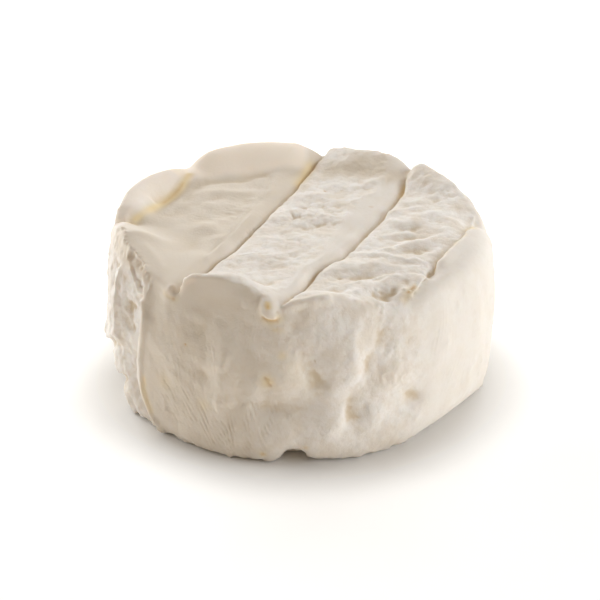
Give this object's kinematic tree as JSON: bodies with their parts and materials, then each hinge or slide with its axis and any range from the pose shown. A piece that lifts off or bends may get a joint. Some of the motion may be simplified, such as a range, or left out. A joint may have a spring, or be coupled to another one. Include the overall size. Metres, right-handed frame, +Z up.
{
  "type": "cheese wheel",
  "caption": "Whole small round soft-ripened cheese with a white bloomy rind, rack grooves across its top and a raised wavy rim.",
  "frame": {"origin": "the middle of the base, on the surface that the wheel rests on", "axes": "+Z is up, through the wheel's thickness; -Y is the front, where the arched piece of rim stands"},
  "size_m": [0.0997, 0.0982, 0.0484],
  "materials": {
    "bloomy_rind": "matt, soft and finely napped"
  },
  "bodies": {
    "root": {"cheese_wheel": "bloomy_rind"}
  },
  "joints": []
}
